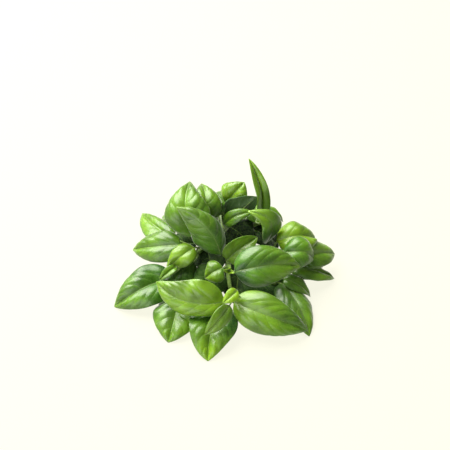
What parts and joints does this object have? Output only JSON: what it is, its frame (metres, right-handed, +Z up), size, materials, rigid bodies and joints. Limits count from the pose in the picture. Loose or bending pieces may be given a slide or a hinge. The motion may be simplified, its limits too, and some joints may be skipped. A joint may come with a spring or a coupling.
{
  "type": "basil bunch",
  "caption": "Loose bunch of freshly cut basil lying on a table: leafy stems gathered at the back, with arched glossy green leaves spread to the front and sides",
  "frame": {"origin": "on the table, under the middle of the bunch's bounding box", "axes": "+Z up from the table, +Y towards the cut ends of the stems, +X to the right of someone who looks at the leaves with the stems behind them"},
  "size_m": [0.207, 0.1793, 0.0925],
  "materials": {
    "basil_leaf": "fresh green leaf with a soft waxy gloss, paler below and along the veins"
  },
  "bodies": {
    "root": {"sprig_left": "basil_leaf", "sprig_front_left": "basil_leaf", "sprig_front": "basil_leaf", "sprig_front_right": "basil_leaf", "sprig_right": "basil_leaf", "sprig_far_right": "basil_leaf", "sprig_back_left": "basil_leaf", "sprig_back": "basil_leaf", "sprig_back_right": "basil_leaf"}
  },
  "joints": []
}
